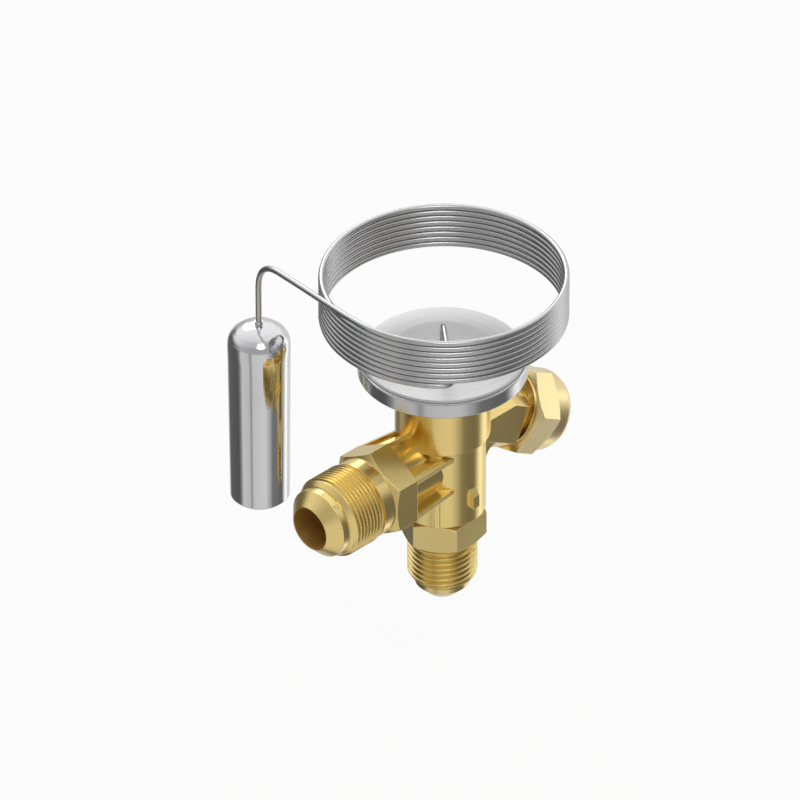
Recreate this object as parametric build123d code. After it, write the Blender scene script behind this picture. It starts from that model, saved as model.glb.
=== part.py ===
"""Refrigerant expansion valve with a remote sensing bulb, angle pattern, flare ends.

Row frame: origin on the main axis at the middle of the inlet thread, +Z up to
the bellows element, -X along the outlet, +X side carries the setting spindle.
All lengths are in millimetres.
"""
import math
import os

from build123d import *

os.makedirs("parts", exist_ok=True)

# ---------------------------------------------------------------- driving dimensions
RUN = 0.05            # radial running clearance of moving pieces
SEAT_GAP = 0.02       # axial clearance of faces that meet when closed

OUT_THREAD_R = 19.05 / 2      # 3/4-16 UNF, 1/2 inch flare
IN_THREAD_R = 15.875 / 2      # 5/8-18 UNF, 3/8 inch flare

Z_OUT = 27.8          # outlet axis above the middle of the inlet thread
IN_THREAD_LEN = 10.4
IN_END = -9.9         # inlet mouth
IN_HEX_BOT = 5.8
IN_HEX_AF = 17.6
IN_HEX_TURN = 34.0    # how far the inlet hexagon is turned from the row axes
IN_NOSE_R = 6.3
IN_BORE_R = 3.6

BODY_BOT = 13.6       # underside of the body, above the inlet hexagon
GASKET_T = 0.4
LOW_COL_R = 9.8
TOP_COL_R = 10.8
TOP_COL_BOT = Z_OUT + 6.0
BODY_TOP = Z_OUT + 22.4

CHAMBER_R = 7.0       # spring chamber in the upper column
CHAMBER_BOT = Z_OUT + 7.0
COUNTER_R = 8.6       # element spigot
COUNTER_DEEP = 3.0

OUT_BORE_R = 5.1
OUT_MOUTH = 42.1
OUT_NOSE_R = 8.1
OUT_THREAD_0 = 27.3
OUT_THREAD_1 = 36.5
OUT_RELIEF_R = 9.2
OUT_HEX_0 = 17.4
OUT_HEX_1 = 24.0
OUT_HEX_AF = 19.0
OUT_TUBE_R = 7.0
FLANGE_T = 1.1        # level flanges along the outlet arm
RIDGE_T = 1.4         # upright ridges above and below it
ARM_AF = 17.0         # the arm narrows to this at the column

FLOW_R = 5.2          # flow chamber under the web
FLOW_TOP = Z_OUT + 3.5
INSERT_TOP = Z_OUT - 6.0      # shoulder that the orifice insert is clamped on
INSERT_T = 2.0
LOW_BORE_R = 6.6

SPINDLE_Z = Z_OUT + 14.15     # spindle axis meets the main axis here
SPINDLE_DIP = 30.0            # degrees below horizontal
BRANCH_AF = 16.0
BRANCH_DROP = 1.4             # hexagon centre below the spindle axis
BRANCH_END = 21.3
WEB_ROUND = 3.0
BRANCH_EDGE_Z = Z_OUT + 8.9   # level edge of the branch's side faces
NECK_R = 7.2
NECK_END = 28.0
CAP_RING_0 = 22.3
CAP_RING_1 = 23.3
CAP_RING_R = 9.1
CAP_AF = 19.0
CAP_TURN = 21.0
CAP_HEX_END = 31.0
CAP_ROUND_R = 9.4
CAP_END = 36.3

ELEM_R = 19.2
ELEM_RIM_TOP = BODY_TOP + 3.9
DIAPHRAGM_Z = BODY_TOP + 2.8
DIAPHRAGM_T = 0.2
ELEM_TOP_R = 18.6
ELEM_STEP_R = 11.2
ELEM_STEP_Z = BODY_TOP + 5.6
BOSS_R = 2.2
BOSS_TOP = BODY_TOP + 7.1

TUBE_R = 0.7          # capillary
COIL_R = 27.4
COIL_X = 0.14
COIL_Y = -0.14
COIL_Z0 = Z_OUT + 37.4
COIL_Z1 = Z_OUT + 49.0
COIL_IN = 220.5       # plan angle where the tail joins the coil
COIL_OUT = 172.4      # plan angle where the lead leaves it
TAIL_Z = Z_OUT + 35.5
TAIL_BEND = 2.5
LEAD_RUN = 22.8
LEAD_BEND = 9.7
BULB_TOP = Z_OUT + 28.5
BULB_BOT = Z_OUT - 18.7
BULB_R1 = 7.15
BULB_R0 = 6.75
BULB_DOME = 4.8

STROKE = 0.8          # valve stroke
SPINDLE_TRAVEL = 1.2  # each way

# ---------------------------------------------------------------- helpers
DIP = math.radians(SPINDLE_DIP)
N = Vector(math.cos(DIP), 0, -math.sin(DIP))
FOOT = Vector(0, 0, SPINDLE_Z)
AXIS_MAIN = Plane.XY
AXIS_OUT = Plane(origin=(0, 0, Z_OUT), x_dir=(0, 1, 0), z_dir=(-1, 0, 0))
AXIS_SPINDLE = Plane(origin=FOOT, x_dir=(0, 1, 0), z_dir=N)


def turned(plane, points):
    """Solid of revolution about a plane's normal from (radius, distance) points."""
    wire = Polyline(*[(r, 0, t) for r, t in points], close=True)
    face = make_face(wire)
    return plane * revolve(face, axis=Axis.Z)


def disc(plane, radius, low, high):
    return turned(plane, [(0, low), (radius, low), (radius, high), (0, high)])


def ring(plane, inner, outer, low, high):
    return turned(plane, [(inner, low), (outer, low), (outer, high), (inner, high)])


def hexagon(plane, flats, low, high, turn=0.0):
    """Hexagonal prism, flats across the plane's x direction at turn 0."""
    corner = flats / math.sqrt(3)
    pts = []
    for i in range(6):
        a = math.radians(30 + 60 * i + turn)
        pts.append((corner * math.cos(a), corner * math.sin(a)))
    face = make_face(Polyline(*pts, close=True))
    return plane * (Pos(0, 0, low) * extrude(face, amount=high - low))


def nut_blank(plane, flats, low, high, turn, bevel_low, bevel_high):
    """Hexagon with its corners turned down at either end."""
    corner = flats / math.sqrt(3)
    cut = corner - flats / 2 + 0.25
    rise = cut * math.tan(math.radians(30))
    pts = [(0, low)]
    if bevel_low:
        pts += [(corner - cut, low), (corner + 0.01, low + rise + 0.006)]
    else:
        pts += [(corner + 0.01, low)]
    if bevel_high:
        pts += [(corner + 0.01, high - rise - 0.006), (corner - cut, high)]
    else:
        pts += [(corner + 0.01, high)]
    pts += [(0, high)]
    return hexagon(plane, flats, low, high, turn) & turned(plane, pts)


def spring(plane, mean, wire, low, high, turns):
    """Open coil spring between two faces, square cut at its ends."""
    pitch = (high - low - wire) / turns
    path = Helix(pitch=pitch, height=pitch * turns, radius=mean)
    path = Pos(0, 0, low + wire / 2) * path
    start = Plane(origin=path @ 0, z_dir=path % 0)
    return plane * sweep(start * RegularPolygon(wire / 2, 6), path=path, is_frenet=True)


def bent_path(points, radii):
    """Wire through points, each inner corner rounded to its radius."""
    edges = []
    last = Vector(*points[0])
    for i in range(1, len(points) - 1):
        here = Vector(*points[i])
        before = (last - here).normalized()
        after = (Vector(*points[i + 1]) - here).normalized()
        half = math.acos(max(-1.0, min(1.0, before.dot(after)))) / 2
        back = radii[i - 1] / math.tan(half)
        start = here + before * back
        finish = here + after * back
        middle_dir = (before + after).normalized()
        depth = radii[i - 1] / math.sin(half) - radii[i - 1]
        middle = here + middle_dir * depth
        edges.append(Edge.make_line(last, start))
        edges.append(Edge.make_three_point_arc(start, middle, finish))
        last = finish
    edges.append(Edge.make_line(last, Vector(*points[-1])))
    return Wire(edges)


def tube_along(path, radius):
    start = Plane(origin=path @ 0, z_dir=path % 0)
    return sweep(start * RegularPolygon(radius, 8), path=path)


parts = {}

# ---------------------------------------------------------------- valve body
low_col = disc(AXIS_MAIN, LOW_COL_R, BODY_BOT, TOP_COL_BOT + 2)
top_col = turned(AXIS_MAIN, [
    (0, TOP_COL_BOT), (TOP_COL_R - 0.3, TOP_COL_BOT), (TOP_COL_R, TOP_COL_BOT + 0.3),
    (TOP_COL_R, BODY_TOP - 0.4), (TOP_COL_R - 0.4, BODY_TOP), (0, BODY_TOP)])

v_dir = Vector(math.sin(DIP), 0, math.cos(DIP))
branch_plane = Plane(origin=FOOT - v_dir * BRANCH_DROP, x_dir=(0, 1, 0), z_dir=N)
branch = hexagon(branch_plane, BRANCH_AF, 0, BRANCH_END)
half_af = BRANCH_AF / 2
roof_rise = half_af * math.tan(math.radians(30))
roof = make_face(Polyline((-half_af - 1, -60), (half_af + 1, -60),
                          (half_af + 1, BRANCH_EDGE_Z - math.tan(math.radians(30))),
                          (0, BRANCH_EDGE_Z + roof_rise),
                          (-half_af - 1, BRANCH_EDGE_Z - math.tan(math.radians(30))),
                          close=True))
roof_plane = Plane(origin=(0, 0, 0), x_dir=(0, 1, 0), z_dir=(1, 0, 0))
branch = branch & (roof_plane * extrude(roof, amount=40))

# Web that rounds the inner corner between the branch and the lower column.
web_y = half_af - 0.3
web_x = math.sqrt(LOW_COL_R ** 2 - web_y ** 2)
low_edge = half_af / math.sqrt(3) + BRANCH_DROP
foot_x = -low_edge * math.sin(DIP)
foot_z = SPINDLE_Z - low_edge * math.cos(DIP)
reach = (web_x - foot_x) / math.cos(DIP)
corner_z = foot_z - reach * math.sin(DIP)
tangent = WEB_ROUND / math.tan(DIP)
web_low = (web_x, 0, corner_z - tangent)
web_mid = (web_x + WEB_ROUND * (1 - math.sin(DIP)), 0, corner_z - tangent + WEB_ROUND * math.cos(DIP))
web_out = (web_x + tangent * math.cos(DIP), 0, corner_z - tangent * math.sin(DIP))
web_wire = Wire([
    Edge.make_three_point_arc(Vector(*web_low), Vector(*web_mid), Vector(*web_out)),
    Edge.make_line(web_out, (web_x + 3.0, 0, Z_OUT + 5.0)),
    Edge.make_line((web_x + 3.0, 0, Z_OUT + 5.0), (3.0, 0, Z_OUT + 5.0)),
    Edge.make_line((3.0, 0, Z_OUT + 5.0), (3.0, 0, web_low[2])),
    Edge.make_line((3.0, 0, web_low[2]), web_low)])
web = extrude(make_face(web_wire), amount=web_y, dir=(0, 1, 0), both=True)

outlet = turned(AXIS_OUT, [
    (0, 0), (OUT_TUBE_R, 0), (OUT_TUBE_R, OUT_HEX_0 + 1), (OUT_RELIEF_R, OUT_HEX_0 + 1),
    (OUT_RELIEF_R, OUT_THREAD_0), (OUT_THREAD_R, OUT_THREAD_0 + 0.3),
    (OUT_THREAD_R, OUT_THREAD_1), (OUT_NOSE_R - 0.2, OUT_THREAD_1 + 0.9),
    (OUT_NOSE_R, OUT_THREAD_1 + 1.2),
    (OUT_NOSE_R, OUT_MOUTH - (OUT_NOSE_R - OUT_BORE_R - 0.2)),
    (OUT_BORE_R + 0.2, OUT_MOUTH), (0, OUT_MOUTH)])
collar = nut_blank(AXIS_OUT, OUT_HEX_AF, OUT_HEX_0, OUT_HEX_1, 0, False, True)


def arm_bar(points_near, points_far):
    """Bar along the outlet arm, lofted from the column to the collar."""
    near = make_face(Polyline(*[(y, z, 5.0) for y, z in points_near], close=True))
    far = make_face(Polyline(*[(y, z, OUT_HEX_0 + 0.5) for y, z in points_far], close=True))
    return AXIS_OUT * loft([near, far])


def flange_points(flats, side, top):
    """Section of a level flange at a corner of the hexagon, with a small lip."""
    half = flats / 2 - 0.05
    level = half * math.tan(math.radians(30))
    pts = [(3.0, level - FLANGE_T), (half, level - FLANGE_T), (half, level)]
    pts += [(half - 1.2, level + 0.65), (half - 1.35, level - 0.1), (3.0, level - 0.1)]
    if not top:
        pts = [(y, -z) for y, z in pts]
    return [(side * y, z) for y, z in pts]


def ridge_points(flats, top):
    """Section of an upright ridge at the top or bottom corner of the hexagon."""
    corner = flats / math.sqrt(3) - 0.15
    pts = [(-RIDGE_T / 2, 4.0), (RIDGE_T / 2, 4.0), (RIDGE_T / 2, corner - 0.35), (0, corner),
           (-RIDGE_T / 2, corner - 0.35)]
    return pts if top else [(y, -z) for y, z in pts]


rails = None
for top in (True, False):
    bars = [arm_bar(ridge_points(ARM_AF, top), ridge_points(OUT_HEX_AF, top))]
    for side in (1, -1):
        bars.append(arm_bar(flange_points(ARM_AF, side, top), flange_points(OUT_HEX_AF, side, top)))
    for bar in bars:
        rails = bar if rails is None else rails + bar

LUG_X0 = -1.25
LUG_X1 = 0.75
LUG_Y = -11.0
lug = make_face(Polyline((LUG_X0, -8.0, Z_OUT - 9.9), (LUG_X0, LUG_Y, Z_OUT - 9.9),
                         (LUG_X0, LUG_Y, Z_OUT - 6.9), (LUG_X0, -9.3, Z_OUT - 4.3),
                         (LUG_X0, -8.0, Z_OUT - 4.3), close=True))
lug = extrude(lug, amount=LUG_X1 - LUG_X0, dir=(1, 0, 0))
rib_angle = 218.0
rib = Rot(0, 0, rib_angle) * (Pos(LOW_COL_R, 0, Z_OUT - 10.5) * Box(1.2, 1.2, 7.0))

body = low_col + top_col + branch + web + outlet + collar + rails + lug + rib
body = body + disc(AXIS_SPINDLE, NECK_R, BRANCH_END - 2, NECK_END)

body = body - turned(AXIS_MAIN, [
    (0, CHAMBER_BOT), (CHAMBER_R, CHAMBER_BOT), (CHAMBER_R, BODY_TOP - COUNTER_DEEP),
    (COUNTER_R + RUN, BODY_TOP - COUNTER_DEEP), (COUNTER_R + RUN, BODY_TOP + 1), (0, BODY_TOP + 1)])
body = body - turned(AXIS_MAIN, [
    (0, BODY_BOT - 1), (LOW_BORE_R, BODY_BOT - 1), (LOW_BORE_R, INSERT_TOP),
    (FLOW_R, INSERT_TOP), (FLOW_R, FLOW_TOP), (0, FLOW_TOP)])
body = body - disc(AXIS_OUT, OUT_BORE_R, 0, OUT_MOUTH + 1)

ROD_Y = 4.2
ROD_R = 0.7
for s in (1, -1):
    guide = disc(Plane(origin=(0, s * ROD_Y, 0)), ROD_R + RUN, FLOW_TOP - 1, CHAMBER_BOT + 1)
    body = body - guide

SHANK_R = 2.6
STEM_R = 3.6
STEM_BORE_0 = 12.0
GLAND_R = 4.6
GLAND_0 = 25.4
body = body - turned(AXIS_SPINDLE, [
    (0, 2.0), (SHANK_R + RUN, 2.0), (SHANK_R + RUN, STEM_BORE_0), (STEM_R + RUN, STEM_BORE_0),
    (STEM_R + RUN, GLAND_0), (GLAND_R + RUN, GLAND_0), (GLAND_R + RUN, NECK_END + 1),
    (0, NECK_END + 1)])
parts["valve_body"] = body

# ---------------------------------------------------------------- inlet end
in_thread_top = IN_THREAD_LEN / 2
hex_top = BODY_BOT - GASKET_T
connector = turned(AXIS_MAIN, [
    (0, IN_END), (IN_BORE_R + 0.2, IN_END),
    (IN_NOSE_R, IN_END + IN_NOSE_R - IN_BORE_R - 0.2),
    (IN_NOSE_R, -in_thread_top - 1.0), (IN_THREAD_R, -in_thread_top),
    (IN_THREAD_R, in_thread_top), (IN_THREAD_R - 0.8, in_thread_top + 0.1),
    (IN_THREAD_R - 0.8, hex_top), (LOW_BORE_R - RUN, hex_top),
    (LOW_BORE_R - RUN, INSERT_TOP - INSERT_T), (0, INSERT_TOP - INSERT_T)])
connector = connector + nut_blank(AXIS_MAIN, IN_HEX_AF, IN_HEX_BOT, hex_top, IN_HEX_TURN, True, True)
CAGE_R = 4.2
CAGE_BOT = Z_OUT - 19.0
cage_bore = CAGE_R + 0.2
connector = connector - turned(AXIS_MAIN, [
    (0, IN_END - 1), (IN_BORE_R, IN_END - 1), (IN_BORE_R, CAGE_BOT - 0.4),
    (cage_bore, CAGE_BOT - 0.4), (cage_bore, INSERT_TOP), (0, INSERT_TOP)])
parts["inlet_connector"] = connector
parts["inlet_gasket"] = ring(AXIS_MAIN, LOW_BORE_R, LOW_COL_R - 1.2, hex_top, BODY_BOT)

ORIFICE_R = 1.3
CAGE_IN = 3.2
seat_z = INSERT_TOP - INSERT_T
parts["orifice_insert"] = turned(AXIS_MAIN, [
    (ORIFICE_R, seat_z), (ORIFICE_R, INSERT_TOP), (LOW_BORE_R - RUN, INSERT_TOP),
    (LOW_BORE_R - RUN, seat_z), (CAGE_R, seat_z), (CAGE_R, CAGE_BOT), (CAGE_IN, CAGE_BOT),
    (CAGE_IN, seat_z)])

CONE_R = 2.4
PIN_R = 0.6
cone_face = seat_z - (CONE_R - ORIFICE_R) - SEAT_GAP
cone_bot = cone_face - 1.5
parts["valve_cone"] = turned(AXIS_MAIN, [
    (0, seat_z + ORIFICE_R - PIN_R), (PIN_R, seat_z + ORIFICE_R - PIN_R - SEAT_GAP),
    (CONE_R, cone_face), (CONE_R, cone_bot), (1.1, cone_bot), (1.1, cone_bot - 1.9),
    (0, cone_bot - 1.9)])
CLIP_T = 1.0
clip_top = CAGE_BOT + CLIP_T + 0.4
parts["spring_clip"] = ring(AXIS_MAIN, 1.2, CAGE_IN, clip_top - CLIP_T, clip_top)
parts["cone_spring"] = spring(AXIS_MAIN, 2.0, 0.45, clip_top, cone_bot, 4)

STRAINER_TOP = CAGE_BOT - 1.6
parts["strainer_ring"] = ring(AXIS_MAIN, 2.9, IN_BORE_R, STRAINER_TOP - 1.2, STRAINER_TOP)
strain_0 = STRAINER_TOP - 1.2
strain_1 = strain_0 - 7.0
parts["inlet_strainer"] = turned(AXIS_MAIN, [
    (3.3, strain_0), (1.5, strain_1), (0, strain_1), (0, strain_1 + 0.35),
    (1.25, strain_1 + 0.35), (2.95, strain_0)])

# ---------------------------------------------------------------- push rods and springs
BRIDGE_Z1 = Z_OUT + 2.6
BRIDGE_T = 1.2
PAD_HUB_Z = BODY_TOP - 0.4
pusher = Pos(0, 0, BRIDGE_Z1 - BRIDGE_T / 2) * Box(2.0, 2 * ROD_Y, BRIDGE_T)
for s in (1, -1):
    pusher = pusher + disc(Plane(origin=(0, s * ROD_Y, 0)), ROD_R, BRIDGE_Z1 - BRIDGE_T, PAD_HUB_Z)
pusher = pusher + disc(AXIS_MAIN, PIN_R, seat_z + ORIFICE_R - PIN_R, BRIDGE_Z1 - BRIDGE_T / 2)
parts["push_rods"] = pusher

PAD_R = 12.0
pad = turned(AXIS_MAIN, [
    (0, PAD_HUB_Z), (CHAMBER_R - RUN, PAD_HUB_Z), (CHAMBER_R - RUN, DIAPHRAGM_Z - 1.0),
    (PAD_R, DIAPHRAGM_Z - 1.0), (PAD_R, DIAPHRAGM_Z), (0, DIAPHRAGM_Z)])
parts["thrust_pad"] = pad

apex_t = -2.31
apex_z = SPINDLE_Z - apex_t * math.sin(DIP)
SEAT_T = 1.6
seat_low = apex_z + SEAT_GAP
spring_seat = disc(AXIS_MAIN, CHAMBER_R - RUN, seat_low, seat_low + SEAT_T)
for s in (1, -1):
    spring_seat = spring_seat - disc(Plane(origin=(0, s * ROD_Y, 0)), ROD_R + RUN,
                                     seat_low - 1, seat_low + SEAT_T + 1)
parts["spring_seat"] = spring_seat
parts["superheat_spring"] = spring(AXIS_MAIN, 5.8, 1.0, seat_low + SEAT_T, PAD_HUB_Z, 3)

# ---------------------------------------------------------------- setting spindle
cone_len = SHANK_R / math.tan(DIP)
parts["setting_spindle"] = turned(AXIS_SPINDLE, [
    (0, apex_t), (SHANK_R, apex_t + cone_len), (SHANK_R, 14.0), (STEM_R, 14.4),
    (STEM_R, 21.0), (2.7, 21.0), (2.7, 22.6), (STEM_R, 22.6), (STEM_R, 23.6), (0, 23.6)])
square = Pos(0, 0, 25.9) * Box(3.4, 3.4, 4.7)
parts["setting_spindle"] = parts["setting_spindle"] + AXIS_SPINDLE * square
ring_pts = []
for i in range(8):
    a = math.radians(45 * i + 22.5)
    ring_pts.append((3.16 + 0.46 * math.cos(a), 21.8 + 0.46 * math.sin(a)))
parts["spindle_o_ring"] = turned(AXIS_SPINDLE, ring_pts)
gland = ring(AXIS_SPINDLE, 2.9, GLAND_R, GLAND_0, NECK_END - 0.3)
gland = gland - AXIS_SPINDLE * (Pos(0, 0, NECK_END - 0.5) * Box(10, 1.0, 1.2))
parts["spindle_gland"] = gland

hexed = nut_blank(AXIS_SPINDLE, CAP_AF, CAP_RING_1, CAP_HEX_END, CAP_TURN, True, True)
rounded = turned(AXIS_SPINDLE, [
    (0, CAP_HEX_END - 1), (CAP_ROUND_R, CAP_HEX_END - 1), (CAP_ROUND_R, CAP_END - 1.5),
    (CAP_ROUND_R - 0.44, CAP_END - 0.44), (CAP_ROUND_R - 1.5, CAP_END), (0, CAP_END)])
cap = hexed + rounded
cap = cap - turned(AXIS_SPINDLE, [
    (0, CAP_RING_1 - 1), (NECK_R + RUN, CAP_RING_1 - 1), (NECK_R + RUN, NECK_END + SEAT_GAP),
    (4.8, NECK_END + SEAT_GAP), (4.8, 32.5), (0, 34.0)])
parts["cap_nut"] = cap
parts["cap_ring"] = ring(AXIS_SPINDLE, NECK_R + RUN, CAP_RING_R, CAP_RING_0, CAP_RING_1)

# ---------------------------------------------------------------- bellows element
FLOOR_Z = DIAPHRAGM_Z - 1.0 - STROKE - 0.1
CAVITY_R = 15.0
CRIMP_R = ELEM_TOP_R + 0.02
parts["element_lower_housing"] = turned(AXIS_MAIN, [
    (CHAMBER_R, BODY_TOP - COUNTER_DEEP), (COUNTER_R, BODY_TOP - COUNTER_DEEP),
    (COUNTER_R, BODY_TOP), (ELEM_R - 0.4, BODY_TOP), (ELEM_R, BODY_TOP + 0.4),
    (ELEM_R, ELEM_RIM_TOP - 0.3), (ELEM_R - 0.2, ELEM_RIM_TOP), (CRIMP_R, ELEM_RIM_TOP),
    (CRIMP_R, DIAPHRAGM_Z), (CAVITY_R, DIAPHRAGM_Z), (CAVITY_R, FLOOR_Z), (CHAMBER_R, FLOOR_Z)])
dia_top = DIAPHRAGM_Z + DIAPHRAGM_T
parts["diaphragm"] = disc(AXIS_MAIN, ELEM_TOP_R, DIAPHRAGM_Z, dia_top)
parts["element_upper_housing"] = turned(AXIS_MAIN, [
    (TUBE_R, ELEM_STEP_Z - 1.0), (TUBE_R, ELEM_STEP_Z), (ELEM_STEP_R, ELEM_STEP_Z),
    (ELEM_STEP_R + 0.9, ELEM_STEP_Z - 0.9), (ELEM_TOP_R - 0.3, ELEM_RIM_TOP + 0.6),
    (ELEM_TOP_R, ELEM_RIM_TOP + 0.3), (ELEM_TOP_R, dia_top), (CAVITY_R, dia_top),
    (CAVITY_R, ELEM_RIM_TOP - 0.3), (ELEM_STEP_R, ELEM_RIM_TOP - 0.1),
    (ELEM_STEP_R - 0.6, ELEM_STEP_Z - 1.0)])
parts["capillary_ferrule"] = ring(AXIS_MAIN, TUBE_R, BOSS_R, ELEM_STEP_Z, BOSS_TOP)

# ---------------------------------------------------------------- capillary and bulb
a_in = math.radians(COIL_IN)
a_out = math.radians(COIL_OUT)
join_in = Vector(COIL_X + COIL_R * math.cos(a_in), COIL_Y + COIL_R * math.sin(a_in), COIL_Z0)
join_out = Vector(COIL_X + COIL_R * math.cos(a_out), COIL_Y + COIL_R * math.sin(a_out), COIL_Z1)
dir_in = Vector(math.sin(a_in), -math.cos(a_in), 0)
dir_out = Vector(math.sin(a_out), -math.cos(a_out), 0)

tail_corner = join_in - dir_in * 4.2
tail_path = bent_path([
    (0, 0, ELEM_STEP_Z - 0.8), (0, 0, TAIL_Z),
    (tail_corner.X, tail_corner.Y, tail_corner.Z), (join_in.X, join_in.Y, join_in.Z)], [TAIL_BEND, 3.6])
parts["capillary_tail"] = tube_along(tail_path, TUBE_R)

lead_corner = join_out + dir_out * (LEAD_RUN + LEAD_BEND)
BULB_X = lead_corner.X
BULB_Y = lead_corner.Y
lead_path = bent_path([
    (join_out.X, join_out.Y, join_out.Z), (BULB_X, BULB_Y, COIL_Z1),
    (BULB_X, BULB_Y, BULB_TOP)], [LEAD_BEND])
parts["capillary_lead"] = tube_along(lead_path, TUBE_R)

coil_plane = Plane(origin=(COIL_X, COIL_Y, 0))
coil = ring(coil_plane, COIL_R - TUBE_R, COIL_R + TUBE_R, COIL_Z0 - TUBE_R + 0.1, COIL_Z1 + TUBE_R)
NOTCH = 2 * TUBE_R + 0.04
lead_notch = Plane(origin=join_out + dir_out * 5.5, x_dir=dir_out, z_dir=(0, 0, 1))
coil = coil - lead_notch * (Pos(0, 0, 0.5) * Box(11.0, 3.2, NOTCH + 1.0))
tail_notch = Plane(origin=join_in - dir_in * 5.5, x_dir=dir_in, z_dir=(0, 0, 1))
coil = coil - tail_notch * (Pos(0, 0, -0.5) * Box(11.0, 3.2, NOTCH + 1.0))
parts["capillary_coil"] = coil

bulb_plane = Plane(origin=(BULB_X, BULB_Y, 0))
profile = [(0, BULB_BOT), (BULB_R0 - 1.0, BULB_BOT), (BULB_R0, BULB_BOT + 1.0),
           (BULB_R1, BULB_TOP - BULB_DOME)]
for i in range(1, 6):
    a = math.radians(90 * i / 6)
    profile.append((BULB_R1 * math.cos(a), BULB_TOP - BULB_DOME + BULB_DOME * math.sin(a)))
profile.append((0, BULB_TOP))
parts["sensing_bulb"] = turned(bulb_plane, profile)
parts["bulb_collar"] = ring(bulb_plane, TUBE_R, 0.97, BULB_TOP, BULB_TOP + 1.0)

# ---------------------------------------------------------------- write
for name, shape in parts.items():
    solids = shape.solids()
    if len(solids) != 1:
        print("NOTE", name, "has", len(solids), "solids")
    one = max(solids, key=lambda s: s.volume)
    one.label = name
    export_step(one, "parts/" + name + ".step")
    print(name, round(one.volume, 2), one.is_valid)
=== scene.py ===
# %% [markdown]
# A refrigerant expansion valve: a small forged brass body with two flare
# ends, a hexagon cap over its setting spindle, a pressed steel element on
# top, and a thin capillary tube wound in a coil, with a sensing bulb at its
# far end. The model of the rigid parts is loaded first, as a fixed frame.

# %% Load the frame
import math

import bmesh
import bpy
from mathutils import Matrix, Vector


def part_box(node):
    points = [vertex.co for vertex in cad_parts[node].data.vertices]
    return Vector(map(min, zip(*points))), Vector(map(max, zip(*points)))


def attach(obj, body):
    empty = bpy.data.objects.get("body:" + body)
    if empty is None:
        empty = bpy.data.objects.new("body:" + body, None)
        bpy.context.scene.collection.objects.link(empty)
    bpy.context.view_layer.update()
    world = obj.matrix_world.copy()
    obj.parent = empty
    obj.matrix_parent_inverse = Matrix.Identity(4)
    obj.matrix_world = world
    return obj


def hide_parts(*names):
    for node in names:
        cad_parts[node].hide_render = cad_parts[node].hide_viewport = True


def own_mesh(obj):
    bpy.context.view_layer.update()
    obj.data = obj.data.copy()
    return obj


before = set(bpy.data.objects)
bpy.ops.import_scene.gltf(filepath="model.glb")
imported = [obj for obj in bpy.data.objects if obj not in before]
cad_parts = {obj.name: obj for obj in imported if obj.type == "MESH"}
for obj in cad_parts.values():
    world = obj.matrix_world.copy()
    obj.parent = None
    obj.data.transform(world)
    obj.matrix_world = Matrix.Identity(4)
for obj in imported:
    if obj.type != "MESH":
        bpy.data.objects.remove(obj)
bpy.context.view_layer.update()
MM = 0.001
print("nodes loaded:", len(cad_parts))

# %% [markdown]
# The sizes that the scene shares with the rigid parts. The outlet's axis
# height is the value that most heights are worked from, and the box of a
# loaded node gives the rest, so a change to the frame moves the scene too.

# %% Shared sizes
OUTLET_Z = 27.8 * MM
ELEMENT_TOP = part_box("capillary_ferrule")[1][2]
BULB_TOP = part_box("sensing_bulb")[1][2]
TUBE_R = 0.7 * MM
print("capillary leaves the element at z =", round(ELEMENT_TOP / MM, 2), "mm")

# %% [markdown]
# The camera looks down on the part from one corner, at the angle of an
# isometric drawing. A long lens from three metres away keeps parallel edges
# parallel, which is why every hexagon looks as regular as on paper.

# %% Camera
AZIMUTH = math.radians(-45)
ELEVATION = math.radians(35.264)
back = Vector((math.sin(AZIMUTH) * math.cos(ELEVATION),
               -math.cos(AZIMUTH) * math.cos(ELEVATION), math.sin(ELEVATION)))
right = Vector((math.cos(AZIMUTH), math.sin(AZIMUTH), 0))
up = back.cross(right)
DISTANCE = 3.0
FRAME_WIDTH = 180.2 * MM
AIM_LEFT = 9.6 * MM
AIM_UP = 11.6 * MM
SENSOR = 36
aim = Vector((0, 0, OUTLET_Z)) - right * AIM_LEFT + up * AIM_UP

camera_data = bpy.data.cameras.new("camera")
camera_data.sensor_width = SENSOR
camera_data.lens = SENSOR * DISTANCE / FRAME_WIDTH
camera_data.clip_start = 0.1
camera_data.clip_end = 20
camera = bpy.data.objects.new("camera", camera_data)
bpy.context.collection.objects.link(camera)
camera.location = aim + back * DISTANCE
camera.rotation_mode = "QUATERNION"
camera.rotation_quaternion = (-back).to_track_quat("-Z", "Y")
bpy.context.scene.camera = camera
print("lens", round(camera_data.lens), "mm")

# %% [markdown]
# The capillary is one thin steel tube, about a metre and a half long. It
# could be a swept mesh, but a curve keeps its true length and stays easy to
# re-route. It leaves the element's ferrule, winds round eight times, and
# ends in the bulb. First come the sizes of the coil and of its two ends.

# %% Sizes of the capillary
COIL_R = 27.4 * MM
COIL_CENTRE = Vector((0.14 * MM, -0.14 * MM, 0))
COIL_LOW = OUTLET_Z + 37.4 * MM
COIL_HIGH = OUTLET_Z + 49.0 * MM
ANGLE_IN = math.radians(220.5)
ANGLE_OUT = math.radians(172.4)
TURNS = 8 + (ANGLE_IN - ANGLE_OUT) / math.tau
POINTS_PER_TURN = 24
TAIL_Z = OUTLET_Z + 35.5 * MM
TAIL_BACK = 4.2 * MM
TAIL_BEND = 5.0 * MM
TAIL_EASE = 6.0 * MM
LEAD_CORNER = 32.5 * MM
LEAD_DROP = Vector((0, 0, 2.8 * MM))
BEND_POINT = 15.6 * MM
print("coil turns:", round(TURNS, 2))

# %% [markdown]
# Where the tube meets the coil, its ends run along the coil's own tangent,
# so that nothing kinks. Both ends then turn at a corner, one above the
# ferrule and one above the bulb.

# %% Ends of the capillary
def round_coil(angle, height, radius=COIL_R):
    """A point on the coil, or at another radius round its axis."""
    return COIL_CENTRE + Vector((radius * math.cos(angle), radius * math.sin(angle), height))


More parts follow.
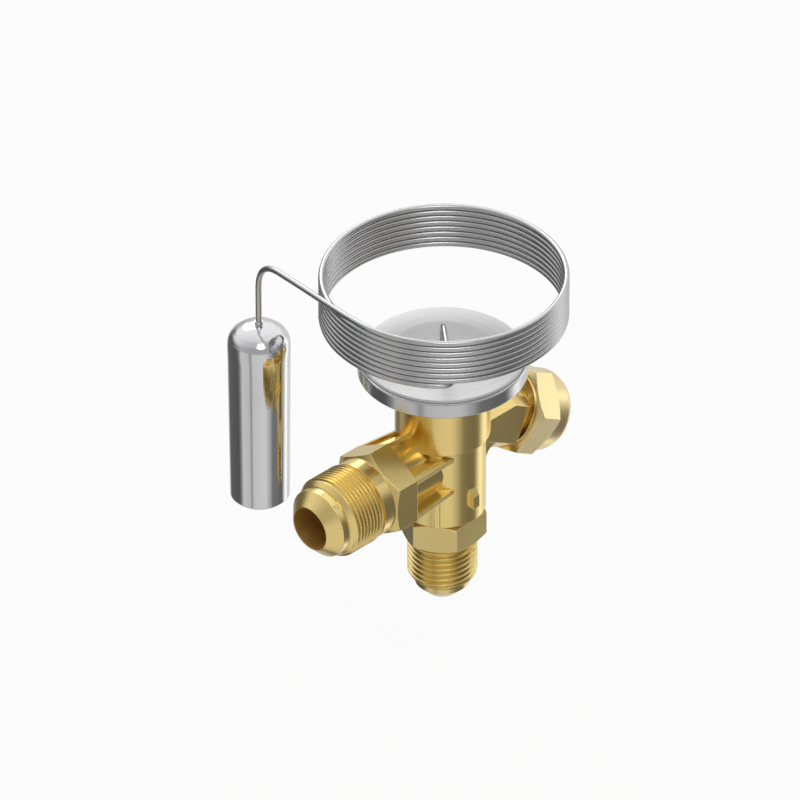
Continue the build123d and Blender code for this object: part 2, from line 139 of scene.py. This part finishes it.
def along_coil(angle):
    """The way that the tube runs at an angle of the coil."""
    return Vector((math.sin(angle), -math.cos(angle), 0))


join_in = round_coil(ANGLE_IN, COIL_LOW)
join_out = round_coil(ANGLE_OUT, COIL_HIGH)
tail_top = Vector((0, 0, TAIL_Z))
tail_corner = join_in - along_coil(ANGLE_IN) * TAIL_BACK
tail_run = (tail_corner - tail_top).normalized()
lead_corner = join_out + along_coil(ANGLE_OUT) * LEAD_CORNER - LEAD_DROP
lead_run = (lead_corner - join_out).normalized()
lead_end = Vector((lead_corner.x, lead_corner.y, BULB_TOP))
print("lead:", round((lead_corner - join_out).length / MM, 1), "mm out,",
      round((lead_corner - lead_end).length / MM, 1), "mm down")

# %% [markdown]
# The control points, in order from the ferrule to the bulb. A quadratic
# spline runs inside its control points, so those of the coil lie a little
# further out than the tube does. A point on each side of a corner sets how
# wide the bend is.

# %% Control points
route = [Vector((0, 0, ELEMENT_TOP)), tail_top - Vector((0, 0, TAIL_BEND)), tail_top,
         tail_top + tail_run * TAIL_BEND, tail_corner - tail_run * TAIL_EASE, tail_corner]
outward = 1 / (0.75 + 0.25 * math.cos(math.tau / POINTS_PER_TURN))
steps = int(TURNS * POINTS_PER_TURN)
for step in range(1, steps + 1):
    part_way = (step - 0.5) / steps
    angle = ANGLE_IN - TURNS * math.tau * part_way
    height = COIL_LOW + (COIL_HIGH - COIL_LOW) * part_way
    route.append(round_coil(angle, height, COIL_R * outward))
route += [lead_corner - lead_run * BEND_POINT, lead_corner,
          lead_corner - Vector((0, 0, BEND_POINT)), lead_end]
print("capillary control points:", len(route))

# %% [markdown]
# The curve itself. The tube's thickness is carried by the points' radius,
# over a bevel of one, because a curve's bounding box grows by its points'
# radius, and the default of one metre would dwarf the part.

# %% Capillary tube
curve = bpy.data.curves.new("capillary", "CURVE")
curve.dimensions = "3D"
spline = curve.splines.new("NURBS")
spline.points.add(len(route) - 1)
for point, place in zip(spline.points, route):
    point.co = (*place, 1)
    point.radius = TUBE_R
spline.order_u = 3
spline.use_endpoint_u = True
spline.resolution_u = 10
curve.bevel_depth = 1
curve.bevel_resolution = 3
curve.use_fill_caps = True
capillary = bpy.data.objects.new("capillary", curve)
bpy.context.collection.objects.link(capillary)
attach(capillary, "valve")
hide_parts("capillary_coil", "capillary_tail", "capillary_lead")
print("capillary replaces three rigid nodes")

# %% [markdown]
# Shading. Brass and steel are metals, so nearly all of their look is in how
# rough they are and in fine relief. Painted colours can't give that, so
# three node groups are shared: a sandblasted skin of tiny grains, the fine
# lines that a lathe leaves along an axis, and the rings of a spun sheet.
# Each gives a tone and a height, and takes its scale as an input.

# %% Node helpers
def new_group(name, inputs, outputs):
    """An empty node group with its sockets, and its two end nodes."""
    group = bpy.data.node_groups.new(name, "ShaderNodeTree")
    for title, kind, value in inputs:
        socket = group.interface.new_socket(title, in_out="INPUT", socket_type=kind)
        if value is not None:
            socket.default_value = value
    for title, kind in outputs:
        group.interface.new_socket(title, in_out="OUTPUT", socket_type=kind)
    start = group.nodes.new("NodeGroupInput")
    end = group.nodes.new("NodeGroupOutput")
    return group, start, end


def math_node(tree, operation, first, second, clamp=False):
    """A Math node's output. Each input is a number or another node's output."""
    node = tree.nodes.new("ShaderNodeMath")
    node.operation = operation
    node.use_clamp = clamp
    for index, value in enumerate((first, second)):
        if isinstance(value, (int, float)):
            node.inputs[index].default_value = value
        else:
            tree.links.new(value, node.inputs[index])
    return node.outputs[0]


print("node helpers ready")

# %% [markdown]
# Forgings are blasted with grit after the die, which leaves a fine sparkle.
# A noise texture of some two thousand grains a metre gives the relief, and a
# slower one, ninety to a metre, lets the tone drift as on handled metal.

# %% Sandblasted skin
FINE_SHARE = 0.45
DRIFT_SCALE = 90
blasted, b_in, b_out = new_group(
    "Sandblasted skin",
    [("Position", "NodeSocketVector", None), ("Grain", "NodeSocketFloat", 2600.0),
     ("Tone Spread", "NodeSocketFloat", 0.25)],
    [("Tone", "NodeSocketFloat"), ("Height", "NodeSocketFloat")])
grains = blasted.nodes.new("ShaderNodeTexNoise")
grains.inputs["Detail"].default_value = 3
blasted.links.new(b_in.outputs["Position"], grains.inputs["Vector"])
blasted.links.new(b_in.outputs["Grain"], grains.inputs["Scale"])
drift = blasted.nodes.new("ShaderNodeTexNoise")
drift.inputs["Scale"].default_value = DRIFT_SCALE
drift.inputs["Detail"].default_value = 4
blasted.links.new(b_in.outputs["Position"], drift.inputs["Vector"])
low = math_node(blasted, "SUBTRACT", drift.outputs[0], 0.5)
low = math_node(blasted, "MULTIPLY", low, b_in.outputs["Tone Spread"])
tone = math_node(blasted, "ADD", low, 0.5)
fine = math_node(blasted, "SUBTRACT", grains.outputs[0], 0.5)
fine = math_node(blasted, "MULTIPLY", fine, FINE_SHARE)
tone = math_node(blasted, "ADD", tone, fine, clamp=True)
blasted.links.new(tone, b_out.inputs["Tone"])
blasted.links.new(grains.outputs[0], b_out.inputs["Height"])
print("group:", blasted.name)

# %% [markdown]
# A turning tool leaves lines square to the work's axis. A wave texture would
# space them too evenly, so a one-dimensional noise is read along the axis,
# which the Axis input turns to suit the piece. Half of the tone is a cloudy
# smear, as from a wiping cloth.

# %% Lathe lines
SMEAR_SCALE = 120
LINE_SHARE = 0.5
lathe, l_in, l_out = new_group(
    "Lathe lines",
    [("Position", "NodeSocketVector", None), ("Axis", "NodeSocketVector", (0, 0, 1)),
     ("Lines per metre", "NodeSocketFloat", 9000.0)],
    [("Tone", "NodeSocketFloat"), ("Height", "NodeSocketFloat")])
dot = lathe.nodes.new("ShaderNodeVectorMath")
dot.operation = "DOT_PRODUCT"
lathe.links.new(l_in.outputs["Position"], dot.inputs[0])
lathe.links.new(l_in.outputs["Axis"], dot.inputs[1])
travel = math_node(lathe, "MULTIPLY", dot.outputs["Value"], l_in.outputs["Lines per metre"])
lines = lathe.nodes.new("ShaderNodeTexNoise")
lines.noise_dimensions = "1D"
lines.inputs["Detail"].default_value = 2
lines.inputs["Scale"].default_value = 1
lathe.links.new(travel, lines.inputs["W"])
smear = lathe.nodes.new("ShaderNodeTexNoise")
smear.inputs["Scale"].default_value = SMEAR_SCALE
lathe.links.new(l_in.outputs["Position"], smear.inputs["Vector"])
mixed = math_node(lathe, "ADD", math_node(lathe, "MULTIPLY", lines.outputs[0], LINE_SHARE),
                  math_node(lathe, "MULTIPLY", smear.outputs[0], 1 - LINE_SHARE))
lathe.links.new(mixed, l_out.inputs["Tone"])
lathe.links.new(lines.outputs[0], l_out.inputs["Height"])
print("group:", lathe.name)

# %% [markdown]
# The element's top is a pressed disc, with faint rings round its centre. The
# same noise serves, read along the distance from the upright axis.

# %% Spun rings
CLOUD_SCALE = 140
RING_SHARE = 0.6
spun, s_in, s_out = new_group(
    "Spun rings",
    [("Position", "NodeSocketVector", None), ("Rings per metre", "NodeSocketFloat", 900.0)],
    [("Tone", "NodeSocketFloat"), ("Height", "NodeSocketFloat")])
flat = spun.nodes.new("ShaderNodeVectorMath")
flat.operation = "MULTIPLY"
flat.inputs[1].default_value = (1, 1, 0)
spun.links.new(s_in.outputs["Position"], flat.inputs[0])
radius = spun.nodes.new("ShaderNodeVectorMath")
radius.operation = "LENGTH"
spun.links.new(flat.outputs[0], radius.inputs[0])
out_travel = math_node(spun, "MULTIPLY", radius.outputs["Value"], s_in.outputs["Rings per metre"])
rings = spun.nodes.new("ShaderNodeTexNoise")
rings.noise_dimensions = "1D"
rings.inputs["Detail"].default_value = 1
rings.inputs["Scale"].default_value = 1
spun.links.new(out_travel, rings.inputs["W"])
cloud = spun.nodes.new("ShaderNodeTexNoise")
cloud.inputs["Scale"].default_value = CLOUD_SCALE
spun.links.new(s_in.outputs["Position"], cloud.inputs["Vector"])
shade = math_node(spun, "ADD", math_node(spun, "MULTIPLY", rings.outputs[0], RING_SHARE),
                  math_node(spun, "MULTIPLY", cloud.outputs[0], 1 - RING_SHARE))
spun.links.new(shade, s_out.inputs["Tone"])
spun.links.new(rings.outputs[0], s_out.inputs["Height"])
print("group:", spun.name)

# %% [markdown]
# Every metal here is built the same way. A group's tone blends two colours
# and sways the roughness, and its height feeds a bump. No real edge is
# knife sharp, so a Bevel node softens the normals at the edges, which gives
# each one a thin line of light without adding a face.

# %% A metal
EDGE_ROUND = 0.22 * MM
RELIEF_DEPTH = 0.05 * MM
ROUGH_LEAST = 0.8
ROUGH_MOST = 1.25


def metal(name, group, dark, light, rough, relief, grain=None, axis=None):
    """A metal whose tone and roughness follow a surface group."""
    material = bpy.data.materials.new(name)
    material.use_nodes = True
    tree = material.node_tree
    shader = tree.nodes["Principled BSDF"]
    place = tree.nodes.new("ShaderNodeTexCoord")
    skin = tree.nodes.new("ShaderNodeGroup")
    skin.node_tree = group
    tree.links.new(place.outputs["Object"], skin.inputs["Position"])
    if grain:
        skin.inputs["Grain"].default_value = grain
    if axis:
        skin.inputs["Axis"].default_value = axis
    ramp = tree.nodes.new("ShaderNodeMix")
    ramp.data_type = "RGBA"
    ramp.inputs[6].default_value = (*dark, 1)
    ramp.inputs[7].default_value = (*light, 1)
    tree.links.new(skin.outputs["Tone"], ramp.inputs[0])
    tree.links.new(ramp.outputs[2], shader.inputs["Base Color"])
    spread = tree.nodes.new("ShaderNodeMapRange")
    spread.inputs["To Min"].default_value = rough * ROUGH_LEAST
    spread.inputs["To Max"].default_value = rough * ROUGH_MOST
    tree.links.new(skin.outputs["Tone"], spread.inputs["Value"])
    tree.links.new(spread.outputs[0], shader.inputs["Roughness"])
    edge = tree.nodes.new("ShaderNodeBevel")
    edge.samples = 6
    edge.inputs["Radius"].default_value = EDGE_ROUND
    bump = tree.nodes.new("ShaderNodeBump")
    tree.links.new(edge.outputs[0], bump.inputs["Normal"])
    bump.inputs["Strength"].default_value = relief
    bump.inputs["Distance"].default_value = RELIEF_DEPTH
    tree.links.new(skin.outputs["Height"], bump.inputs["Height"])
    tree.links.new(bump.outputs[0], shader.inputs["Normal"])
    shader.inputs["Metallic"].default_value = 1
    return material


print("edges look rounded to", EDGE_ROUND / MM, "mm")

# %% [markdown]
# The brasses differ by how they were made. The forging is the deepest
# yellow, the turned nipple is duller, and the cap is paler, with its tool
# lines square to the spindle. The outlet's bore is rougher, so that it glows
# a little instead of vanishing into black.

# %% Brasses
SPINDLE_AXIS = (math.cos(math.radians(30)), 0, -math.sin(math.radians(30)))
forged = metal("forged brass", blasted, (0.78, 0.58, 0.20), (0.97, 0.77, 0.33), 0.24, 0.2,
               grain=1900)
turned_inlet = metal("turned brass inlet", lathe, (0.70, 0.53, 0.20), (0.88, 0.71, 0.31), 0.22,
                     0.25)
bored = metal("bored brass", lathe, (0.80, 0.55, 0.17), (0.93, 0.68, 0.24), 0.5, 0.25,
              axis=(1, 0, 0))
cap_brass = metal("cap brass", lathe, (0.76, 0.60, 0.28), (0.95, 0.80, 0.44), 0.2, 0.2,
                  axis=SPINDLE_AXIS)
inner_brass = metal("turned brass inside", lathe, (0.70, 0.52, 0.20), (0.90, 0.72, 0.30), 0.25,
                    0.25)
print("brasses:", forged.name, turned_inlet.name, bored.name, cap_brass.name, sep=", ")

# %% [markdown]
# The steels differ more in roughness than in colour, from the mirror of the
# bulb to the satin of the ferrule. The element's pressed top is only partly
# metallic, because a full mirror would show nothing but the coil over it.

# %% Steels
PRESSED_METALLIC = 0.6
satin = metal("satin steel", blasted, (0.44, 0.44, 0.45), (0.60, 0.60, 0.60), 0.34, 0.2,
              grain=1500)
rim_steel = metal("turned steel rim", lathe, (0.52, 0.52, 0.53), (0.68, 0.68, 0.68), 0.15, 0.15)
pressed = metal("pressed steel", spun, (0.56, 0.56, 0.56), (0.71, 0.71, 0.71), 0.42, 0.35)
pressed.node_tree.nodes["Principled BSDF"].inputs["Metallic"].default_value = PRESSED_METALLIC
drawn = metal("drawn steel tube", blasted, (0.42, 0.42, 0.43), (0.62, 0.62, 0.62), 0.24, 0.2,
              grain=1800)
polished = metal("polished bulb", lathe, (0.60, 0.60, 0.61), (0.78, 0.78, 0.79), 0.08, 0.05)
hardened = metal("hardened steel", lathe, (0.45, 0.45, 0.45), (0.62, 0.62, 0.62), 0.3, 0.2)
spring_steel = metal("spring steel", blasted, (0.28, 0.28, 0.29), (0.46, 0.46, 0.47), 0.32, 0.2)
stainless = metal("stainless foil", lathe, (0.52, 0.52, 0.52), (0.70, 0.70, 0.70), 0.22, 0.15)
capillary.data.materials.append(drawn)

# %% [markdown]
# Two soft materials seal the valve: a dull copper gasket over the nipple's
# hexagon, and a black rubber ring on the spindle, the only piece with no
# metal in it.

# %% Copper and rubber
copper = metal("soft copper", blasted, (0.62, 0.30, 0.18), (0.86, 0.46, 0.30), 0.34, 0.3)
rubber = metal("black rubber", blasted, (0.012, 0.012, 0.012), (0.03, 0.03, 0.03), 0.55, 0.4)
rubber.node_tree.nodes["Principled BSDF"].inputs["Metallic"].default_value = 0
print("materials:", len(bpy.data.materials))

# %% [markdown]
# The valve train can't be seen with the body on, yet it should look right
# when somebody takes the body off. Its shapes are fine as they are, so each
# piece only gets a better material in the slots that it already has.

# %% Pieces hidden inside
inner_pieces = {
    inner_brass: ["orifice_insert", "spring_seat", "spindle_gland", "strainer_ring"],
    hardened: ["setting_spindle", "push_rods", "valve_cone", "thrust_pad"],
    spring_steel: ["spring_clip"],
    stainless: ["diaphragm", "inlet_strainer"],
    rubber: ["spindle_o_ring"],
}
for material, nodes in inner_pieces.items():
    for node in nodes:
        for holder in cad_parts[node].material_slots:
            holder.material = material
print("inner pieces dressed:", sum(len(nodes) for nodes in inner_pieces.values()))

# %% [markdown]
# The rigid pieces already have the right shape. Their meshes are loose
# triangles, though, which would show as flat facets on shiny metal. Each
# visible one is copied, its doubles are merged, and edges sharper than a
# set angle are kept crisp while the rest shade smoothly.

# %% A smooth copy
MERGE = 0.002 * MM
CRISP_ANGLE = math.radians(17)


def merged_mesh(node):
    """A rigid piece's mesh with its loose triangles joined up."""
    mesh = bmesh.new()
    mesh.from_mesh(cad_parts[node].data)
    bmesh.ops.remove_doubles(mesh, verts=mesh.verts, dist=MERGE)
    bmesh.ops.dissolve_degenerate(mesh, edges=mesh.edges, dist=MERGE / 2)
    return mesh


def make_piece(mesh, name, body, material, node):
    """A finished object from a mesh, in place of one rigid node."""
    data = bpy.data.meshes.new(name)
    mesh.to_mesh(data)
    mesh.free()
    if "custom_normal" in data.attributes:
        data.attributes.remove(data.attributes["custom_normal"])
    for face in data.polygons:
        face.use_smooth = True
    data.set_sharp_from_angle(angle=CRISP_ANGLE)
    piece = bpy.data.objects.new(name, data)
    bpy.context.collection.objects.link(piece)
    data.materials.append(material)
    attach(piece, body)
    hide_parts(node)
    return piece


print("edges over", round(math.degrees(CRISP_ANGLE)), "degrees stay crisp")

# %% [markdown]
# Pieces whose shape needs nothing more: the cap and its ring, the element's
# two housings, the ferrule, the bulb with its collar, and the gasket.

# %% Smooth copies of the plain pieces
plain_pieces = [
    ("cap_nut", "cap", "cap_brass", cap_brass),
    ("cap_ring", "cap_collar", "cap_brass", cap_brass),
    ("element_lower_housing", "valve", "element_steel", rim_steel),
    ("element_upper_housing", "valve", "element_steel", pressed),
    ("capillary_ferrule", "valve", "element_steel", satin),
    ("sensing_bulb", "valve", "polished_steel", polished),
    ("bulb_collar", "valve", "polished_steel", polished),
    ("inlet_gasket", "valve", "copper_gasket", copper),
]
for node, body, slot, material in plain_pieces:
    make_piece(merged_mesh(node), "shown_" + node, body, material, node)

# %% [markdown]
# Two coil springs push the valve shut: a strong one under the thrust pad and
# a light one under the cone. A rigid spring would run into whatever presses
# it. Each here is a smooth copy of the rigid spring, with a mesh of its own.

# %% Springs
for node in ("superheat_spring", "cone_spring"):
    spring = make_piece(merged_mesh(node), "shown_" + node, "valve",
                        spring_steel, node)
    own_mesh(spring)

# %% [markdown]
# Both flare ends carry a fine thread, which the rigid model leaves as a plain
# cylinder. A ring-by-ring bump would not have a lead, so the thread is made
# as a lathe cuts it: one tooth of the profile is spun round the axis while
# it travels one pitch a turn. The ragged ends are cut off square, the crests
# are turned down to a chamfer, and the sleeve is closed on its inside.

# %% Tooth of a thread
TOOTH_DEPTH = 0.61


def tooth(major, pitch):
    """Half-section of one 60 degree tooth, from crest to crest."""
    root = major - TOOTH_DEPTH * pitch
    middle = (major + root) / 2
    return [(major, 0), (major, 0.125 * pitch), (middle, 0.281 * pitch), (root, 0.4375 * pitch),
            (root, 0.6875 * pitch), (middle, 0.844 * pitch), (major, pitch)]


print("points in a tooth:", len(tooth(1, 0.1)))

# %% [markdown]
# The tooth is spun for two turns more than the thread is long, so that both
# ragged ends lie past the cuts. A smooth tube inside, joined to both cut
# ends, makes the sleeve a closed shell. The three tolerances are shares of a
# pitch, so they suit a fine thread and a coarse one alike.

# %% Threaded sleeve
SPIN_STEPS = 72
WELD = 0.004
SLICE = 0.001
AT_RIM = 0.01


def thread_sleeve(major, pitch, low, high, inside, chamfer_low, chamfer_high):
    """A closed upright sleeve, threaded outside and smooth inside."""
    mesh = bmesh.new()
    turns = math.ceil((high - low) / pitch) + 2
    row = [mesh.verts.new((radius, 0, low - pitch + rise)) for radius, rise in tooth(major, pitch)]
    lines = [mesh.edges.new(pair) for pair in zip(row, row[1:])]
    bmesh.ops.spin(mesh, geom=row + lines, cent=(0, 0, 0), axis=(0, 0, 1),
                   dvec=(0, 0, pitch / SPIN_STEPS), angle=math.tau * turns,
                   steps=SPIN_STEPS * turns, use_merge=False, use_duplicate=False)
    bmesh.ops.remove_doubles(mesh, verts=mesh.verts, dist=pitch * WELD)
    for height, side in ((low, -1), (high, 1)):
        whole = mesh.verts[:] + mesh.edges[:] + mesh.faces[:]
        bmesh.ops.bisect_plane(mesh, geom=whole, plane_co=(0, 0, height), plane_no=(0, 0, side),
                               clear_outer=True, dist=pitch * SLICE)
    for vert in mesh.verts:
        radius = vert.co.xy.length
        limit = min(major - chamfer_low + (vert.co.z - low),
                    major - chamfer_high + (high - vert.co.z))
        if radius > limit:
            vert.co.xy *= limit / radius
    bmesh.ops.create_cone(mesh, cap_ends=False, segments=SPIN_STEPS, radius1=inside,
                          radius2=inside, depth=high - low,
                          matrix=Matrix.Translation((0, 0, (low + high) / 2)))
    for height in (low, high):
        rims = [edge for edge in mesh.edges if edge.is_boundary
                and all(abs(vert.co.z - height) < pitch * AT_RIM for vert in edge.verts)]
        bmesh.ops.bridge_loops(mesh, edges=rims)
    bmesh.ops.recalc_face_normals(mesh, faces=mesh.faces)
    print("thread:", round((high - low) / pitch, 1), "turns,", len(mesh.faces), "faces,",
          sum(edge.is_boundary for edge in mesh.edges), "open edges")
    return mesh


print("a thread has", SPIN_STEPS, "steps a turn")

# %% [markdown]
# A threaded piece is the rigid one cut in two, with the sleeve between. The
# halves reach a hair into the sleeve, so no light shows through the joint.

# %% Cutting and joining
OVERLAP = 0.02 * MM
CUT_REACH = 0.0005 * MM


def keep_side(node, point, normal):
    """The part of a rigid piece behind a plane, closed where it is cut."""
    mesh = merged_mesh(node)
    whole = mesh.verts[:] + mesh.edges[:] + mesh.faces[:]
    bmesh.ops.bisect_plane(mesh, geom=whole, plane_co=point, plane_no=normal, clear_outer=True,
                           dist=CUT_REACH)
    rims = [edge for edge in mesh.edges if edge.is_boundary]
    bmesh.ops.bridge_loops(mesh, edges=rims)
    return mesh


def gather(*meshes):
    """One mesh out of several closed shells."""
    whole = bmesh.new()
    for mesh in meshes:
        part = bpy.data.meshes.new("part")
        mesh.to_mesh(part)
        mesh.free()
        whole.from_mesh(part)
        bpy.data.meshes.remove(part)
    return whole


print("threaded pieces overlap their sleeves by", OVERLAP / MM, "mm")

# %% [markdown]
# The outlet's thread lies along the body's own arm, so its sleeve is made
# upright and then laid over. Its pitch is a millimetre, which gives the ten
# crests that the arm has room for.

# %% Outlet thread on the body
OUT_LOW = 27.3 * MM
OUT_HIGH = 37.3 * MM
OUT_MAJOR = 9.525 * MM
OUT_PITCH = 1.0 * MM
OUT_INSIDE = 5.1 * MM
OUT_CHAMFERS = (1.0 * MM, 1.35 * MM)
along_outlet = Matrix(((0, 0, -1, 0), (0, 1, 0, 0), (1, 0, 0, OUTLET_Z), (0, 0, 0, 1)))
outlet_thread = thread_sleeve(OUT_MAJOR, OUT_PITCH, OUT_LOW, OUT_HIGH, OUT_INSIDE,
                              *OUT_CHAMFERS)
bmesh.ops.transform(outlet_thread, matrix=along_outlet, verts=outlet_thread.verts)
body_side = keep_side("valve_body", (-OUT_LOW - OVERLAP, 0, OUTLET_Z), (-1, 0, 0))
nose_side = keep_side("valve_body", (-OUT_HIGH + OVERLAP, 0, OUTLET_Z), (1, 0, 0))
forging = make_piece(gather(body_side, outlet_thread, nose_side), "forged_body", "valve",
                     forged, "valve_body")

# %% [markdown]
# The bore through that arm is drilled, not forged, so its faces take the
# rougher brass from a second material slot. They are found by how near they
# lie to the outlet's axis.

# %% Bore of the outlet
BORE_END = -12 * MM
BORE_REACH = OUT_INSIDE * 1.01
forging.data.materials.append(bored)
in_bore = 0
for face in forging.data.polygons:
    off_axis = math.hypot(face.center.y, face.center.z - OUTLET_Z)
    if face.center.x < BORE_END and off_axis < BORE_REACH:
        face.material_index = 1
        in_bore += 1
print("bore faces:", in_bore)

# %% [markdown]
# The inlet's thread is upright already, and has its standard eighteen turns
# to the inch. It runs down from the nipple's hexagon to the flare cone.

# %% Inlet thread on the nipple
IN_LOW = -6.15 * MM
IN_HIGH = 5.25 * MM
IN_MAJOR = 7.9375 * MM
IN_PITCH = 25.4 / 18 * MM
IN_INSIDE = 3.6 * MM
IN_CHAMFERS = (1.6 * MM, 0.8 * MM)
inlet_thread = thread_sleeve(IN_MAJOR, IN_PITCH, IN_LOW, IN_HIGH, IN_INSIDE, *IN_CHAMFERS)
hexagon_side = keep_side("inlet_connector", (0, 0, IN_HIGH - OVERLAP), (0, 0, -1))
flare_side = keep_side("inlet_connector", (0, 0, IN_LOW + OVERLAP), (0, 0, 1))
make_piece(gather(hexagon_side, inlet_thread, flare_side), "inlet_nipple", "valve",
           turned_inlet, "inlet_connector")

# %% [markdown]
# The capillary's curve was built further up, and its bulb and collar hang
# on the tube's far end.

print("capillary curve built further up")

# %% [markdown]
# Bare metal shows its surroundings more than itself, so the studio is built
# for its reflections. Pale and dark cards stand round the horizon, which
# draw the long stripes on the bulb and the column, and a bright sky above
# lights what faces up. The helpers come first: a soft step between two
# levels, and the direction towards a point of the sky.

# %% Sky helpers
world = bpy.data.worlds.new("studio")
bpy.context.scene.world = world
world.use_nodes = True
sky = world.node_tree
sky.nodes.clear()
direction = sky.nodes.new("ShaderNodeTexCoord")


def sky_map(value, low, high, to_low, to_high):
    """A soft step between two levels."""
    node = sky.nodes.new("ShaderNodeMapRange")
    node.interpolation_type = "SMOOTHSTEP"
    for title, number in (("From Min", low), ("From Max", high), ("To Min", to_low),
                          ("To Max", to_high)):
        node.inputs[title].default_value = number
    sky.links.new(value, node.inputs["Value"])
    return node.outputs[0]


def toward(plan_angle, rise):
    """The direction of a point of the sky, from two angles in degrees."""
    a, e = math.radians(plan_angle), math.radians(rise)
    return Vector((math.cos(a) * math.cos(e), math.sin(a) * math.cos(e), math.sin(e)))


print("world:", world.name)

# %% [markdown]
# The cards are the stops of a colour ramp, each a plan angle in degrees and
# a level, read by the direction's angle round the upright axis. Colours stop
# at one, so the ramp holds shares of the highest level.

# %% Cards round the horizon
CARDS = [(0, 1.05), (40, 0.92), (62, 0.70), (84, 0.18), (140, 0.15), (150, 0.35), (160, 0.92),
         (186, 0.86), (195, 0.48), (203, 0.92), (248, 1.0), (266, 0.62), (276, 0.28), (322, 0.20),
         (331, 0.95), (343, 1.8)]
TOP_LEVEL = 2.5
split = sky.nodes.new("ShaderNodeSeparateXYZ")
sky.links.new(direction.outputs["Generated"], split.inputs[0])
plan = math_node(sky, "ARCTAN2", math_node(sky, "MULTIPLY", split.outputs[1], -1),
                 math_node(sky, "MULTIPLY", split.outputs[0], -1))
turn = math_node(sky, "ADD", math_node(sky, "DIVIDE", plan, math.tau), 0.5)
cards = sky.nodes.new("ShaderNodeValToRGB")
cards.color_ramp.interpolation = "EASE"
stops = cards.color_ramp.elements
for number, (plan_angle, card_level) in enumerate(CARDS + [(360, CARDS[0][1])]):
    if number < len(stops):
        stops[number].position = plan_angle / 360
    else:
        stops.new(plan_angle / 360)
    grey = card_level / TOP_LEVEL
    stops[number].color = (grey, grey, grey, 1)
sky.links.new(turn, cards.inputs[0])
ring_level = math_node(sky, "MULTIPLY", cards.outputs[0], TOP_LEVEL)
print("cards:", len(CARDS))

# %% [markdown]
# Above the cards the sky takes over, brightest towards one high point, and
# both are mixed by height. The camera itself sees plain white, through
# Light Path, so the background costs the metal nothing.

# %% Sky and background
BRIGHT_POINT = toward(45, 30)
SKY_DIM = 0.6
SKY_BRIGHT = 1.45
CARDS_END = 0.05
SKY_START = 0.45
overhead = sky.nodes.new("ShaderNodeVectorMath")
overhead.operation = "DOT_PRODUCT"
overhead.inputs[1].default_value = BRIGHT_POINT
sky.links.new(direction.outputs["Generated"], overhead.inputs[0])
upper_level = sky_map(overhead.outputs["Value"], -0.4, 1.0, SKY_DIM, SKY_BRIGHT)
height_mask = sky_map(split.outputs[2], CARDS_END, SKY_START, 0, 1)
mixer = sky.nodes.new("ShaderNodeMix")
sky.links.new(height_mask, mixer.inputs[0])
sky.links.new(ring_level, mixer.inputs[2])
sky.links.new(upper_level, mixer.inputs[3])
soft = sky.nodes.new("ShaderNodeBackground")
sky.links.new(mixer.outputs[0], soft.inputs["Strength"])
white = sky.nodes.new("ShaderNodeBackground")
white.inputs["Strength"].default_value = 1
white.inputs["Color"].default_value = (1, 1, 1, 1)
rays = sky.nodes.new("ShaderNodeLightPath")
choose = sky.nodes.new("ShaderNodeMixShader")
sky.links.new(rays.outputs["Is Camera Ray"], choose.inputs[0])
sky.links.new(soft.outputs[0], choose.inputs[1])
sky.links.new(white.outputs[0], choose.inputs[2])
output = sky.nodes.new("ShaderNodeOutputWorld")
sky.links.new(choose.outputs[0], output.inputs["Surface"])
print("world nodes:", len(sky.nodes))

# %% [markdown]
# Two soft round lamps, one over the left shoulder and one behind on the
# right, add the small highlights on the bulb's dome and the hexagons.

# %% Lamps
def softbox(name, place, size, power):
    light = bpy.data.lights.new(name, "AREA")
    light.shape = "DISK"
    light.size = size
    light.energy = power
    lamp = bpy.data.objects.new(name, light)
    bpy.context.collection.objects.link(lamp)
    lamp.location = place
    lamp.rotation_mode = "QUATERNION"
    lamp.rotation_quaternion = (aim - Vector(place)).to_track_quat("-Z", "Y")
    print(name, "at", round((aim - Vector(place)).length, 2), "m")


softbox("key light", (-0.35, -0.45, 0.85), 0.45, 1.2)
softbox("rim light", (0.35, 0.65, 0.55), 0.50, 1.2)

# %% [markdown]
# The valve hangs in its pipework, so the pale table lies some way below it.
# Most of what the camera sees of the table is its own white glow, and the
# rest is lit as usual, which keeps a faint shadow.

# %% Table
FLOOR_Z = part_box("inlet_connector")[0][2] - 40 * MM
FLOOR_R = 1.2
FLOOR_GLOW = 0.85
floor_mesh = bmesh.new()
bmesh.ops.create_circle(floor_mesh, cap_ends=True, segments=96, radius=FLOOR_R,
                        matrix=Matrix.Translation((0, 0, FLOOR_Z)))
floor_data = bpy.data.meshes.new("floor")
floor_mesh.to_mesh(floor_data)
floor_mesh.free()
floor = bpy.data.objects.new("floor", floor_data)
bpy.context.collection.objects.link(floor)
floor.visible_glossy = False
table = bpy.data.materials.new("pale table")
table.use_nodes = True
tree = table.node_tree
matte = tree.nodes["Principled BSDF"]
matte.inputs["Base Color"].default_value = (0.8, 0.8, 0.8, 1)
matte.inputs["Roughness"].default_value = 0.9
glow = tree.nodes.new("ShaderNodeEmission")
seen = tree.nodes.new("ShaderNodeLightPath")
blend = tree.nodes.new("ShaderNodeMixShader")
share = math_node(tree, "MULTIPLY", seen.outputs["Is Camera Ray"], FLOOR_GLOW)
tree.links.new(share, blend.inputs[0])
tree.links.new(matte.outputs[0], blend.inputs[1])
tree.links.new(glow.outputs[0], blend.inputs[2])
tree.links.new(blend.outputs[0], tree.nodes["Material Output"].inputs["Surface"])
floor_data.materials.append(table)
bpy.context.scene.view_settings.view_transform = "Standard"
print("table at z =", round(FLOOR_Z / MM, 1), "mm")
